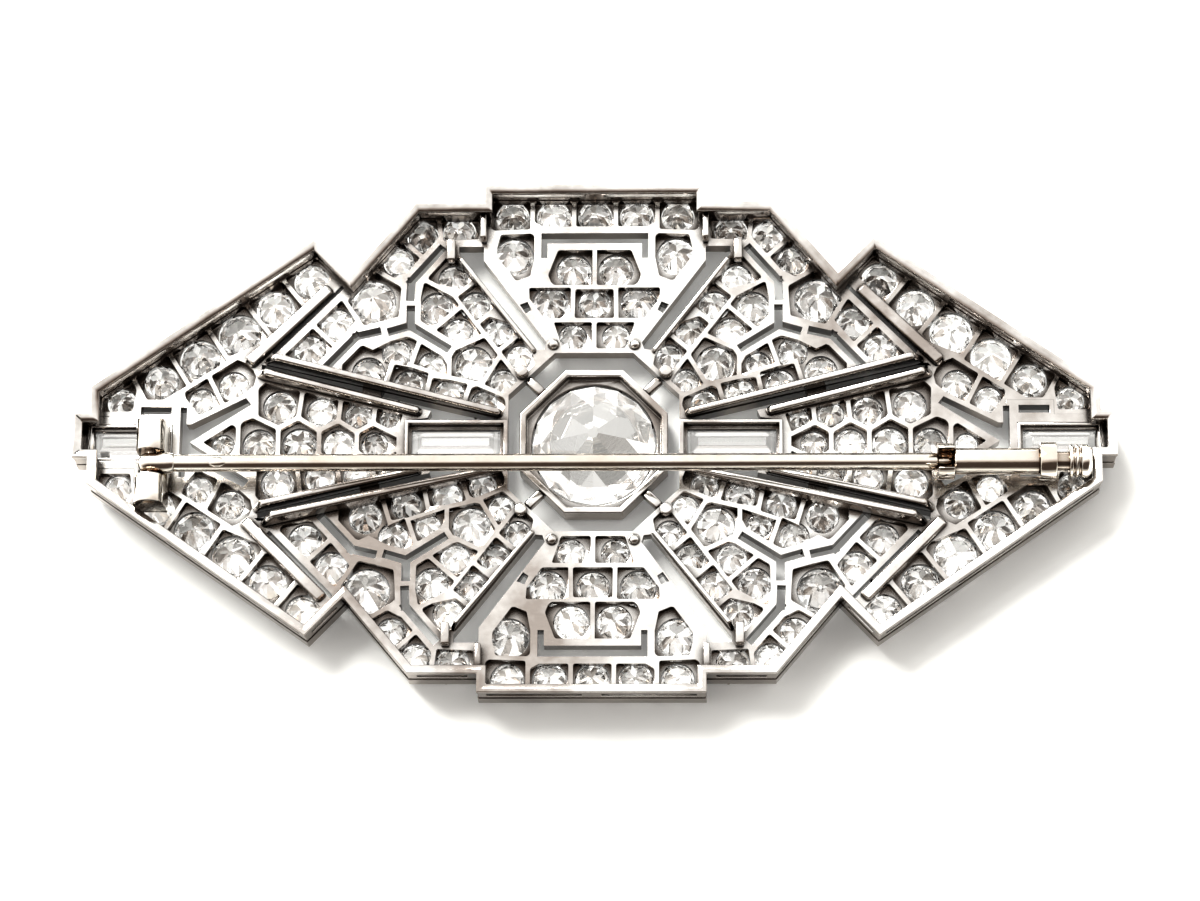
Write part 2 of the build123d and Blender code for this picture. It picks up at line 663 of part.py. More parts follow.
# ---- ribs ----
def rib(start, end, width, low, high):
    """A straight bar on the back of the plate whose height changes evenly along it."""
    length = hypot(end[0] - start[0], end[1] - start[1])
    along = unit(start, end)
    side = Plane((start[0], start[1], PLATE_BACK), x_dir=(*along, 0), z_dir=(along[1], -along[0], 0))
    profile = [(0, 0), (length, 0), (length - high / 2, high), (low / 2, low)]
    corners = [side.from_local_coords((u, v, -width / 2)) for u, v in profile]
    return Solid.extrude(Face(Wire.make_polygon(corners, close=True)), side.z_dir * width)


def save_ribs():
    for node, measures in (
        ("long_ribs", LONG_RIB),
        ("short_ribs", SHORT_RIB),
        ("diagonal_ribs", DIAGONAL_RIB),
        ("wing_ribs", WING_RIB),
    ):
        save(node, *four_of(rib(*measures)))
    for node, (x_from, x_to, y_from, y_to, height) in (
        ("shoulder_bridges", SHOULDER_BRIDGE),
        ("step_struts", STEP_STRUT),
    ):
        block = prism(rectangle(x_from, x_to, y_from, y_to), (PLATE_BACK, PLATE_BACK + height))
        save(node, *four_of(block))


# ---- rim ----
def ring(outside, inside, levels):
    loop = all_round(QUARTER_OUTLINE)
    return prism(inset(loop, outside), levels).cut(prism(inset(loop, inside), levels))


def window_cutters():
    """Long openings in a row along every straight side of the gallery wall that has room for one."""
    cutters = []
    loop = all_round(QUARTER_OUTLINE)
    for start, end in zip(loop, loop[1:] + loop[:1]):
        length = hypot(end[0] - start[0], end[1] - start[1])
        room = length - 2 * WINDOW_CORNER
        if room < LEAST_WINDOW:
            continue
        count = max(1, round((room + WINDOW_POST) / (WINDOW_LENGTH + WINDOW_POST)))
        opening = (room + WINDOW_POST) / count - WINDOW_POST
        frame = Plane((*start, WINDOW_LEVELS[0]), x_dir=(*unit(start, end), 0), z_dir=(0, 0, 1))
        for i in range(count):
            at = WINDOW_CORNER + i * (opening + WINDOW_POST)
            corners = rectangle(at, at + opening, -OVERRUN, OVERRUN)
            outline = [frame.from_local_coords((u, v, 0)) for u, v in corners]
            face = Face(Wire.make_polygon(outline, close=True))
            cutters.append(Solid.extrude(face, Vector(0, 0, WINDOW_LEVELS[1] - WINDOW_LEVELS[0])))
    return cutters


def rail_slope():
    """A cutter that slopes the back rail down from its flat outer edge to its inner edge."""
    loop = all_round(QUARTER_OUTLINE)
    across = RAIL_WIDTH - RAIL_FLAT
    wires = []
    for share in RAIL_SLOPE_REACH:
        level = RAIL_TOP - share * RAIL_SLOPE_DROP
        outline = inset(loop, RAIL_FLAT + share * across)
        wires.append(Wire.make_polygon([(x, y, level) for x, y in outline], close=True))
    return Solid.make_loft(wires, ruled=True)


def save_rim():
    save("rim_rail", ring(0, RAIL_WIDTH, (WALL_TOP, RAIL_TOP)).cut(rail_slope()))
    save("gallery_wall", ring(WALL_OUTSIDE, WALL_INSIDE, (PLATE_BACK, WALL_TOP)).cut(*window_cutters()))


# ---- hinge and pin ----
def knuckle(span):
    """A fixed knuckle: round over the rivet, with straight sides down to the hinge base."""
    leg = prism(
        rectangle(HINGE_X - KNUCKLE_HALF, HINGE_X + KNUCKLE_HALF, *span),
        (HINGE_BASE_TOP, STEM_LEVEL),
    )
    return leg.fuse(rod_y(KNUCKLE_HALF, span)).cut(rod_y(RIVET_RADIUS, span))


def save_hinge():
    save("hinge_base", prism(
        rectangle(HINGE_X - KNUCKLE_HALF, HINGE_X + KNUCKLE_HALF, KNUCKLE_SPANS[0][0], KNUCKLE_SPANS[1][1]),
        (PLATE_BACK, HINGE_BASE_TOP),
    ))
    save("hinge_knuckle_outer", knuckle(KNUCKLE_SPANS[0]))
    save("hinge_knuckle_inner", knuckle(KNUCKLE_SPANS[1]))
    rivet_span = (KNUCKLE_SPANS[0][0] - RIVET_HEAD, KNUCKLE_SPANS[1][1] + RIVET_HEAD)
    save("hinge_rivet", rod_y(RIVET_RADIUS, rivet_span))


def save_pin():
    eye_span = (STEM_Y - PIN_KNUCKLE_HALF, STEM_Y + PIN_KNUCKLE_HALF)
    nose = prism(
        rectangle(HINGE_X, PIN_NOSE_END, *eye_span),
        (STEM_LEVEL - PIN_NOSE_HALF, STEM_LEVEL + PIN_NOSE_HALF),
    )
    eye = rod_y(PIN_EYE_RADIUS, eye_span).fuse(nose).cut(rod_y(RIVET_RADIUS + RUNNING_PLAY, eye_span))
    save("pin_knuckle", eye)
    profile = [(x, STEM_Y + radius, STEM_LEVEL) for x, radius in STEM_STATIONS]
    save("pin_stem", turned(profile, STEM_AXIS).solid())


# ---- catch ----
def leg(span, radius):
    """A foot under a ring of the catch, down to the plate."""
    x_from, x_to = span
    outline = rectangle(x_from + LEG_INSET, x_to - LEG_INSET, STEM_Y - LEG_HALF, STEM_Y + LEG_HALF)
    return prism(outline, (PLATE_BACK, STEM_LEVEL - radius / 2 - LEG_INSET))


def save_catch():
    bore_radius = SLIDER_RADIUS + RUNNING_PLAY
    past_ends = (COLLAR_SPAN[0] - OVERRUN, RING_SPAN[1] + OVERRUN)
    bore = rod_x(bore_radius, past_ends)
    mouth = prism(
        rectangle(*past_ends, STEM_Y - bore_radius, STEM_Y + bore_radius),
        (STEM_LEVEL, STEM_LEVEL + COLLAR_RADIUS + OVERRUN),
    )
    collar = rod_x(COLLAR_RADIUS, COLLAR_SPAN).fuse(leg(COLLAR_SPAN, COLLAR_RADIUS))
    save("catch_collar", collar.cut(bore, mouth))
    save("catch_tube", rod_x(TUBE_RADIUS, TUBE_SPAN).cut(bore))
    end_ring = rod_x(RING_RADIUS, RING_SPAN).fuse(leg(RING_SPAN, RING_RADIUS))
    save("catch_ring", end_ring.cut(bore))
    tube = rod_x(SLIDER_RADIUS, SLIDER_SPAN)
    save("catch_slider_tube", tube.cut(rod_x(SLIDER_BORE, (SLIDER_SPAN[0], SLIDER_BORE_END))))
    profile = [
        (KNOB_SPAN[0], 0), (KNOB_SPAN[0], KNOB_RADIUS), (KNOB_SPAN[1] - KNOB_CHAMFER, KNOB_RADIUS),
        (KNOB_SPAN[1], KNOB_RADIUS - KNOB_CHAMFER), (KNOB_SPAN[1], 0),
    ]
    knob = turned([(x, STEM_Y + radius, STEM_LEVEL) for x, radius in profile], STEM_AXIS).solid()
    knob = knob.cut(rod_x(SLIDER_RADIUS, (KNOB_SPAN[0], SLIDER_SPAN[1])))
    grooves = []
    for x in KNOB_GROOVES:
        span = (x - GROOVE_WIDTH / 2, x + GROOVE_WIDTH / 2)
        grooves.append(rod_x(KNOB_RADIUS + OVERRUN, span).cut(rod_x(KNOB_RADIUS - GROOVE_DEPTH, span)))
    save("catch_knob", knob.cut(*grooves))


os.makedirs("parts", exist_ok=True)
save_rim()
save_top_and_bottom_panels()
save_fan_panels()
save_shoulder_panels()
save_wing_panels()
save_side_panels()
save_end_panels()
save_round_stones()
save_baguettes()
save_collets()
save_centre()
save_centre_fastenings()
save_ribs()
save_hinge()
save_pin()
save_catch()
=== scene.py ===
"""Looks of the Art Deco plaque brooch, which lies face down on a white table.

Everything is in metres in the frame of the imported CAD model: +X along the plaque, +Y up its short
side, +Z from the front of the jewel to its back.
"""

import math
import random

import bmesh
import bpy
from mathutils import Matrix, Vector


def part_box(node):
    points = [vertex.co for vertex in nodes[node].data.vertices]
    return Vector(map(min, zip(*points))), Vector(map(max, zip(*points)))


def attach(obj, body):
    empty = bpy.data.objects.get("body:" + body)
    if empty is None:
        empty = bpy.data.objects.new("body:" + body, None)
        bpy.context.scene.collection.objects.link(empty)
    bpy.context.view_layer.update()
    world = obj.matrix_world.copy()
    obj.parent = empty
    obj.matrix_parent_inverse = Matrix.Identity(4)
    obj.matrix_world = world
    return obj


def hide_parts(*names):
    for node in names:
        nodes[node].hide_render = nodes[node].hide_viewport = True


MM = 0.001

# ---- camera ----
CAMERA_TARGET = Vector((0.41, -0.60, 2.1)) * MM
CAMERA_ELEVATION = math.radians(74.0)
CAMERA_AZIMUTH = math.radians(5.78)
CAMERA_ROLL = math.radians(-5.69)
CAMERA_DISTANCE = 244.5 * MM
CAMERA_LENS = 115.476
CAMERA_SENSOR = 36.0
CAMERA_CLIP = (0.01, 20.0)

# ---- light ----
# how far a direction leans south (0 overhead, 1 the southern horizon) and the sky's colour there
SKY_STOPS = [
    (0.05, (1.0, 0.985, 0.96)), (0.28, (0.5, 0.43, 0.38)), (0.43, (0.07, 0.05, 0.04)),
    (1.0, (0.06, 0.045, 0.036)),
]
# a pale band low in the sky, which fades out between these heights
HORIZON = (0.55, 0.52, 0.48)
HORIZON_HEIGHTS = (0.15, 0.33)
SKY_STRENGTH = 1.3
# the sky's own north, a little to the west
SKY_LEAN = (-0.2, 0.98)
BACKDROP = (0.93, 0.925, 0.915)
KEY_PLACE = Vector((-230, 330, 420)) * MM
KEY_SIZE = 330 * MM
KEY_POWER = 7.0
KEY_COLOUR = (1.0, 0.98, 0.95)
FLOOR_SIZE = 8.0
FLOOR_NOISE = (30.0, 4.0)
FLOOR_TONES = [(0.3, (0.87, 0.885, 0.87)), (0.7, (0.9, 0.912, 0.9))]
FLOOR_ROUGHNESS = 0.6
FLOOR_SHINE = 0.2
# painted light: the table glows a little, so that its shade under the jewel stays light
FLOOR_PAINTED_LIGHT = 0.15
FLOOR_PAINTED_LIGHT_COLOUR = (1.0, 0.985, 0.96)
EXPOSURE = 0.1
GAMMA = 0.84
LIGHT_BOUNCES = 20

# ---- metal: each noise is (scale, detail, roughness), each bump is (strength, depth) ----
WAVES = (300.0, 1.0, 0.4)
GRAINS = (5200.0, 3.0, 0.6)
SCRATCHES = (1500.0, 4.0, 0.7)
# painted reflection: noise for the brown patches that stand in for the dark reflections of tilted plates
DARK_REFLECTION_NOISE = (95.0, 5.0, 0.62)
GRAIN_BUMP = (0.25, 0.004 * MM)
SCRATCH_BUMP = (0.3, 0.006 * MM)
SCRATCH_TURN = (0.0, 0.0, 0.5)
SCRATCH_STRETCH = (1.0, 14.0, 14.0)
RECESS_REACH = 0.8 * MM
RECESS_SAMPLES = 6

# ---- diamond ----
FACET_SHARE = 0.8
DIAMOND_IOR = 2.417
DIAMOND_CLEARNESS = 0.92
# painted glow: the light that chosen facets of the stones give off, though they are no lamps
PAINTED_GLOW_COLOUR = (1.0, 0.985, 0.95)

# ---- bevels of the CAD pieces: node name starts with -> width in millimetres ----
BEVELS = {
    "rim_rail": 0.07,
    "gallery_wall": 0.04,
    "centre_bezel": 0.09,
    "hinge_knuckle": 0.07,
    "hinge_base": 0.06,
    "pin_knuckle": 0.06,
    "catch": 0.08,
    "long_ribs": 0.17,
    "short_ribs": 0.17,
    "diagonal_ribs": 0.09,
    "wing_ribs": 0.16,
    "shoulder_bridges": 0.1,
    "step_struts": 0.1,
    "bezel_pegs": 0.12,
    "fan_knobs": 0.12,
    "inner_collet": 0.06,
    "end_collet": 0.05,
}
PANEL_BEVEL = 0.055
UNBEVELLED = ("pin_stem", "ball_rivets", "hinge_rivet")
BEVEL_SEGMENTS = 2
BEVEL_ANGLE = math.radians(32)
FLAT_ANGLE = math.radians(0.5)
WELD_DISTANCE = 1e-6

# ---- front details, in millimetres ----
QUARTER_OUTLINE = [
    (0.0, 16.7), (7.15, 16.7), (7.15, 15.5), (11.5, 15.5), (15.55, 10.65),
    (17.9, 13.1), (32.0, 3.2), (32.0, 1.5), (33.0, 1.5), (33.0, 0.0),
]
BEZEL_QUARTER = [(0.0, 4.72), (1.84, 4.72), (4.72, 1.84), (4.72, 0.0)]
BEZEL_FRONT = 0.35
PLATE_FRONT = 0.9
GRAIN_RADIUS = 0.15
GRAINS_PER_STONE = 4
GRAIN_GAP = 0.09
GRAIN_SPREAD = (0.88, 1.1)
MILLEGRAIN_RADIUS = 0.13
MILLEGRAIN_STEP = 0.29
MILLEGRAIN_INSET = 0.22
# a claw's three radii, then its distance from the stone's axis with its height, then its slope
CLAW_SIZE = (0.52, 0.24, 0.2)
CLAW_PLACE = (3.95, 0.47)
CLAW_SLOPE = math.radians(24)

# ---- pin: its rounded root as (x, radius), and a blob of solder, in millimetres ----
ROOT_PROFILE = [
    (-28.66, 0.0), (-28.64, 0.2), (-28.55, 0.4), (-28.38, 0.56), (-28.15, 0.66), (-27.9, 0.69),
    (-26.9, 0.69), (-26.65, 0.66), (-26.45, 0.6), (-26.3, 0.54),
]
ROOT_STEPS = 40
STEM_Y = -2.05
STEM_LEVEL = 4.5
SOLDER_PLACE = (-23.6, -2.12, 4.93)
SOLDER_SIZE = (0.62, 0.34, 0.24)

# ---- seams of solder between the end collets and the rim, in millimetres ----
SEAM_PLACE = (32.2, 0.0, 1.7)
SEAM_SIZE = (0.42, 1.3, 0.42)

# ---- stone cutting: shares are of the stone's radius ----
CUT_SIDES = 8
STAR_SHARE = 0.42
LOWER_HALVES = 0.52
GIRDLE_THICKNESS = 0.05 * MM
STONE_GIRDLE = 1.05 * MM
CENTRE_GIRDLE = 1.1 * MM
ROUND_FILL = 0.985
ROUND_TABLE = 0.5
TABLE_SPREAD = (0.92, 1.06)
DEPTH_SPREAD = (0.94, 1.0)
CULET_SPREAD = (0.05, 0.11)
CENTRE_FILL = 0.995
CENTRE_TABLE = 0.5
CENTRE_CULET = 0.085
CROWN_EXTRA = 0.15 * MM
STONE_TILT = math.radians(3.0)
SEED = 20261


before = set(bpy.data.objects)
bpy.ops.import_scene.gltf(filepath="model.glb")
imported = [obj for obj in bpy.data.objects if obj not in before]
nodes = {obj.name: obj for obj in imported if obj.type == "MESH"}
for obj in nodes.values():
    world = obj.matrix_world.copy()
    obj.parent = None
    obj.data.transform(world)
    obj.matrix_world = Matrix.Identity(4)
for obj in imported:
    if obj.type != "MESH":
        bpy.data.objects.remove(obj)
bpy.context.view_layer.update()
random.seed(SEED)


# ---- small tools ----
def new_object(name, shape):
    """A mesh object from a bmesh, linked to the scene."""
    mesh = bpy.data.meshes.new(name)
    shape.to_mesh(mesh)
    shape.free()
    made = bpy.data.objects.new(name, mesh)
    bpy.context.scene.collection.objects.link(made)
    return made


def solids_of(node):
    """The lowest and highest corner of every loose solid in a CAD node."""
    shape = bmesh.new()
    shape.from_mesh(nodes[node].data)
    bmesh.ops.remove_doubles(shape, verts=shape.verts, dist=1e-7)
    boxes = []
    seen = set()
    for start in shape.verts:
        if start in seen:
            continue
        seen.add(start)
        group = [start]
        for vertex in group:
            for edge in vertex.link_edges:
                other = edge.other_vert(vertex)
                if other not in seen:
                    seen.add(other)
                    group.append(other)
        low = Vector([min(v.co[i] for v in group) for i in range(3)])
        high = Vector([max(v.co[i] for v in group) for i in range(3)])
        boxes.append((low, high))
    shape.free()
    return boxes


# ---- materials ----
def new_material(name):
    """A new material, its node tree and its shader."""
    material = bpy.data.materials.new(name)
    material.use_nodes = True
    tree = material.node_tree
    return material, tree, tree.nodes["Principled BSDF"]


def add(tree, kind, **values):
    """A shader node with its sockets or properties set by name."""
    node = tree.nodes.new(kind)
    for key, value in values.items():
        if key in node.inputs:
            node.inputs[key].default_value = value
        else:
            setattr(node, key, value)
    return node


def ramp(tree, source, stops):
    """A colour ramp on a value, from (position, grey or colour) stops."""
    stops = list(stops)
    node = tree.nodes.new("ShaderNodeValToRGB")
    elements = node.color_ramp.elements
    while len(elements) < len(stops):
        elements.new(0.5)
    for element, (position, colour) in zip(elements, stops):
        element.position = position
        if isinstance(colour, (int, float)):
            colour = (colour, colour, colour)
        element.color = (*colour, 1)
    tree.links.new(source, node.inputs["Fac"])
    return node.outputs["Color"]


def multiply(tree, first, second):
    """The product of two colours."""
    node = add(tree, "ShaderNodeMix", data_type="RGBA", blend_type="MULTIPLY")
    node.inputs["Factor"].default_value = 1.0
    tree.links.new(first, node.inputs["A"])
    tree.links.new(second, node.inputs["B"])
    return node.outputs["Result"]


def noise(tree, vector, scale, detail, roughness=0.5):
    """The value of a noise texture at a vector."""
    node = add(tree, "ShaderNodeTexNoise", Scale=scale, Detail=detail, Roughness=roughness)
    tree.links.new(vector, node.inputs["Vector"])
    return node.outputs["Fac"]


def bump(tree, height, strength, distance, below=None):
    """A layer of bump, on top of the one below it if there is one."""
    node = add(tree, "ShaderNodeBump", Strength=strength, Distance=distance)
    tree.links.new(height, node.inputs["Height"])
    if below is not None:
        tree.links.new(below, node.inputs["Normal"])
    return node.outputs["Normal"]


def metal_colour(tree, place, bright, painted_dark_reflection, corner_shade, wall_shade):
    """Brown patches at random as painted dark reflections, painted shade on upright walls and painted
    shade in corners.
    """
    # painted reflection: brown patches at random stand in for the dark reflections of tilted plates
    patches = ramp(tree, noise(tree, place, *DARK_REFLECTION_NOISE), [(0.38, painted_dark_reflection), (0.58, bright)])
    # painted shade: upright walls are darker than flat tops
    upright = add(tree, "ShaderNodeSeparateXYZ")
    tree.links.new(add(tree, "ShaderNodeNewGeometry").outputs["True Normal"], upright.inputs[0])
    flatness = add(tree, "ShaderNodeMath", operation="ABSOLUTE")
    tree.links.new(upright.outputs["Z"], flatness.inputs[0])
    walls = ramp(tree, flatness.outputs[0], [(0.1, wall_shade), (0.75, 1.0)])
    # painted shade: the metal darkens in corners and recesses where ambient occlusion finds other metal
    # near
    recess = add(tree, "ShaderNodeAmbientOcclusion", samples=RECESS_SAMPLES, Distance=RECESS_REACH)
    shaded = ramp(tree, recess.outputs["AO"], [(0.5, corner_shade), (0.92, 1.0)])
    return multiply(tree, multiply(tree, patches, walls), shaded)


def metal(name, bright, painted_dark_reflection, corner_shade, wall_shade, roughness, wave):
    """Polished, worn metal with scratches and slight waves."""
    material, tree, shader = new_material(name)
    place = add(tree, "ShaderNodeTexCoord").outputs["Object"]
    stretch = add(tree, "ShaderNodeMapping")
    stretch.inputs["Rotation"].default_value = SCRATCH_TURN
    stretch.inputs["Scale"].default_value = SCRATCH_STRETCH
    tree.links.new(place, stretch.inputs["Vector"])
    scratches = noise(tree, stretch.outputs["Vector"], *SCRATCHES)

    shader.inputs["Metallic"].default_value = 1.0
    colour = metal_colour(tree, place, bright, painted_dark_reflection, corner_shade, wall_shade)
    tree.links.new(colour, shader.inputs["Base Color"])
    rough = ramp(tree, scratches, [(0.35, roughness[0]), (0.7, roughness[1])])
    tree.links.new(rough, shader.inputs["Roughness"])

    wavy = bump(tree, noise(tree, place, *WAVES), 1.0, wave * MM)
    fine = bump(tree, noise(tree, place, *GRAINS), *GRAIN_BUMP, wavy)
    tree.links.new(bump(tree, scratches, *SCRATCH_BUMP, fine), shader.inputs["Normal"])
    return material


def diamond(name, painted_facet_tones, facet_scale, painted_glow):
    """A clear stone with a painted reflection tone and a painted glow that change from facet to facet.
    """
    material, tree, shader = new_material(name)
    facet = add(tree, "ShaderNodeAttribute", attribute_name="facet").outputs["Fac"]
    place = add(tree, "ShaderNodeTexCoord").outputs["Object"]
    scaled = add(tree, "ShaderNodeMath", operation="MULTIPLY")
    scaled.inputs[1].default_value = 1.0 - FACET_SHARE
    tree.links.new(noise(tree, place, facet_scale, 1.0), scaled.inputs[0])
    blend = add(tree, "ShaderNodeMath", operation="MULTIPLY_ADD")
    blend.inputs[1].default_value = FACET_SHARE
    tree.links.new(facet, blend.inputs[0])
    tree.links.new(scaled.outputs[0], blend.inputs[2])
    # painted reflection: every facet is tinted its own tone in place of the reflections and fire it
    # would show
    tree.links.new(ramp(tree, blend.outputs[0], painted_facet_tones), shader.inputs["Base Color"])
    shader.inputs["Roughness"].default_value = 0.0
    shader.inputs["IOR"].default_value = DIAMOND_IOR
    shader.inputs["Transmission Weight"].default_value = DIAMOND_CLEARNESS
    # painted glow: chosen facets give off light as painted highlights
    shader.inputs["Emission Color"].default_value = (*PAINTED_GLOW_COLOUR, 1)
    tree.links.new(ramp(tree, facet, painted_glow), shader.inputs["Emission Strength"])
    return material


# each metal's second colour is painted dark reflection, its third painted shade in corners and its
# fourth painted shade on upright walls
PLATINUM = metal(
    "platinum", (0.88, 0.87, 0.85), (0.38, 0.34, 0.31), (0.06, 0.045, 0.034), (0.36, 0.31, 0.27),
    (0.1, 0.24), 0.07,
)
WHITE_GOLD = metal(
    "white_gold", (0.9, 0.87, 0.81), (0.72, 0.65, 0.57), (0.26, 0.19, 0.14), (0.95, 0.93, 0.9),
    (0.07, 0.17), 0.03,
)
# each stone's first stops are painted reflection tones of its facets, with painted fire on the round
# stones, and its last stops its painted glow
ROUND_DIAMOND = diamond(
    "round_diamond",
    [
        (0.0, (0.3, 0.26, 0.23)), (0.2, (0.5, 0.46, 0.42)), (0.3, (0.95, 0.94, 0.92)),
        (0.8, (1.0, 1.0, 1.0)), (0.85, (0.8, 0.92, 1.0)), (0.9, (1.0, 0.93, 0.76)),
    ],
    900.0,
    [(0.5, 0.0), (0.7, 0.04), (0.82, 0.35), (0.95, 0.6)],
)
BAGUETTE_DIAMOND = diamond(
    "baguette_diamond",
    [(0.0, (1.0, 1.0, 1.0)), (0.6, (0.95, 0.95, 0.94)), (1.0, (0.86, 0.87, 0.88))],
    500.0,
    [(0.0, 0.02), (0.5, 0.06), (1.0, 0.25)],
)
CENTRE_DIAMOND = diamond(
    "centre_diamond",
    [(0.0, (0.93, 0.915, 0.885)), (0.4, (0.99, 0.985, 0.975)), (1.0, (1.0, 1.0, 1.0))],
    300.0,
    [(0.0, 0.04), (0.5, 0.1), (0.8, 0.3), (1.0, 0.6)],
)


# ---- CAD pieces: rounded edges and finish ----
WHITE_GOLD_NODES = ("hinge_", "pin_", "catch_")
STONE_NODES = ("diamond", "baguettes")


def finish_node(name, node):
    """A CAD piece's metal, its rounded edges and its shading."""
    width = PANEL_BEVEL
    for start, own in BEVELS.items():
        if name.startswith(start):
            width = own
    node.data.materials.clear()
    node.data.materials.append(WHITE_GOLD if name.startswith(WHITE_GOLD_NODES) else PLATINUM)
    weld = node.modifiers.new("weld", "WELD")
    weld.merge_threshold = WELD_DISTANCE
    if name in UNBEVELLED:
        return
    flat = node.modifiers.new("flat", "DECIMATE")
    flat.decimate_type = "DISSOLVE"
    flat.angle_limit = FLAT_ANGLE
    bevel = node.modifiers.new("bevel", "BEVEL")
    bevel.width = width * MM
    bevel.segments = BEVEL_SEGMENTS
    bevel.limit_method = "ANGLE"
    bevel.angle_limit = BEVEL_ANGLE
    bevel.use_clamp_overlap = True
    normals = node.modifiers.new("normals", "WEIGHTED_NORMAL")
    normals.keep_sharp = False


for node_name, node_object in nodes.items():
    if not any(word in node_name for word in STONE_NODES):
        finish_node(node_name, node_object)


# ---- round stones ----
def brilliant_rings(radius, table, front, girdle, back, culet):
    """The rings of corners of an old-cut brilliant, from its table to its culet."""
    half = math.pi / CUT_SIDES
    star_radius = table + STAR_SHARE * (radius - table)
    star_reach = (star_radius * math.cos(half) - table) / (radius - table)
    top = girdle - GIRDLE_THICKNESS / 2
    low = girdle + GIRDLE_THICKNESS / 2
    lower_radius = radius * LOWER_HALVES
    run = radius - culet * math.cos(half)
    lower_reach = (radius - lower_radius * math.cos(half)) / run
    return [
        (CUT_SIDES, 0.0, table, front),
        (CUT_SIDES, half, star_radius, front + star_reach * (top - front)),
        (2 * CUT_SIDES, 0.0, radius, top),
        (2 * CUT_SIDES, 0.0, radius, low),
        (CUT_SIDES, half, lower_radius, low + lower_reach * (back - low)),
        (CUT_SIDES, half, culet, back),
    ]


def brilliant_faces():
    """The facets as (ring, place in the ring) corners."""
    faces = [[(0, k) for k in range(CUT_SIDES)], [(5, -k) for k in range(CUT_SIDES)]]
    for k in range(CUT_SIDES):
        faces += [
            [(0, k), (1, k), (0, k + 1)],
            [(0, k), (1, k - 1), (2, 2 * k), (1, k)],
            [(1, k), (2, 2 * k), (2, 2 * k + 1)],
            [(1, k), (2, 2 * k + 1), (2, 2 * k + 2)],
            [(4, k), (3, 2 * k + 1), (3, 2 * k)],
            [(4, k), (3, 2 * k + 2), (3, 2 * k + 1)],
            [(3, 2 * k), (4, k - 1), (5, k - 1), (5, k), (4, k)],
        ]
    for k in range(2 * CUT_SIDES):
        faces.append([(2, k), (3, k), (3, k + 1), (2, k + 1)])
    return faces


FACES = brilliant_faces()


def add_brilliant(shape, place, rings, turn, tilt):
    """One stone in a shared bmesh, turned about its axis and tilted a little in its seat."""
    turned = Matrix.Translation(place) @ tilt @ Matrix.Rotation(turn, 4, "Z")
    corners = []
    for count, start, radius, level in rings:
        ring = []
        for k in range(count):
            angle = start + 2 * math.pi * k / count
            point = Vector((radius * math.cos(angle), radius * math.sin(angle), level))
            ring.append(shape.verts.new(turned @ point))
        corners.append(ring)
    for face in FACES:
        shape.faces.new([corners[ring][k % len(corners[ring])] for ring, k in face])


def tag_facets(made):
    """A random number for every facet, which its material reads as a painted reflection tone and a
    painted glow.
    """
    attribute = made.data.attributes.new("facet", "FLOAT", "FACE")
    for value in attribute.data:
        value.value = random.random()


def finish_stones(name, shape, node, material):
    """Shows the stones in a bmesh instead of the CAD node."""
    bmesh.ops.recalc_face_normals(shape, faces=shape.faces)
    made = new_object(name, shape)
    tag_facets(made)
    made.data.materials.append(material)
    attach(made, "brooch")
    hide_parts(node)


def set_round_stones(node):
    """Old-cut stones in place of a node's round solids, each a little different."""
    shape = bmesh.new()
    for low, high in solids_of(node):
        radius = (high.x - low.x) / 2
        place = Vector(((low.x + high.x) / 2, (low.y + high.y) / 2, STONE_GIRDLE))
        rings = brilliant_rings(
            radius * ROUND_FILL,
            radius * ROUND_TABLE * random.uniform(*TABLE_SPREAD),
            low.z - STONE_GIRDLE,
            0.0,
            (high.z - STONE_GIRDLE) * random.uniform(*DEPTH_SPREAD),
            radius * random.uniform(*CULET_SPREAD),
        )
        lean = random.uniform(0, 2 * math.pi)
        axis = Vector((math.cos(lean), math.sin(lean), 0))
        tilt = Matrix.Rotation(random.uniform(0, STONE_TILT), 4, axis)
        add_brilliant(shape, place, rings, random.uniform(0, math.pi), tilt)
    finish_stones(node.replace("diamonds", "brilliants"), shape, node, ROUND_DIAMOND)


ROUND_GROUPS = [
    "bar_diamonds", "shield_diamonds", "panel_diamonds", "shoulder_diamonds", "fan_diamonds",
    "wing_diamonds", "side_diamonds",
]
for group_name in ROUND_GROUPS:
    set_round_stones(group_name)


def set_centre_stone():
    """The large old-cut stone in the bezel."""
    low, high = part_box("centre_diamond")
    radius = (high.x - low.x) / 2
    rings = brilliant_rings(
        radius * CENTRE_FILL,
        radius * CENTRE_TABLE,
        low.z - CENTRE_GIRDLE,
        0.0,
        high.z - CENTRE_GIRDLE,
        radius * CENTRE_CULET,
    )
    shape = bmesh.new()
    add_brilliant(shape, Vector((0, 0, CENTRE_GIRDLE)), rings, math.pi / CUT_SIDES, Matrix.Identity(4))
    finish_stones("centre_brilliant", shape, "centre_diamond", CENTRE_DIAMOND)


set_centre_stone()


# ---- long stones ----
# (level, share of the width): the table is at level 0, the girdle at 1 and the keel at KEEL_LEVEL
BAGUETTE_STEPS = [
    (0.0, 0.62), (0.45, 0.82), (1.0, 1.0), (1.08, 1.0), (1.5, 0.84), (2.0, 0.6), (2.6, 0.28),
]
KEEL_LEVEL = 2.6


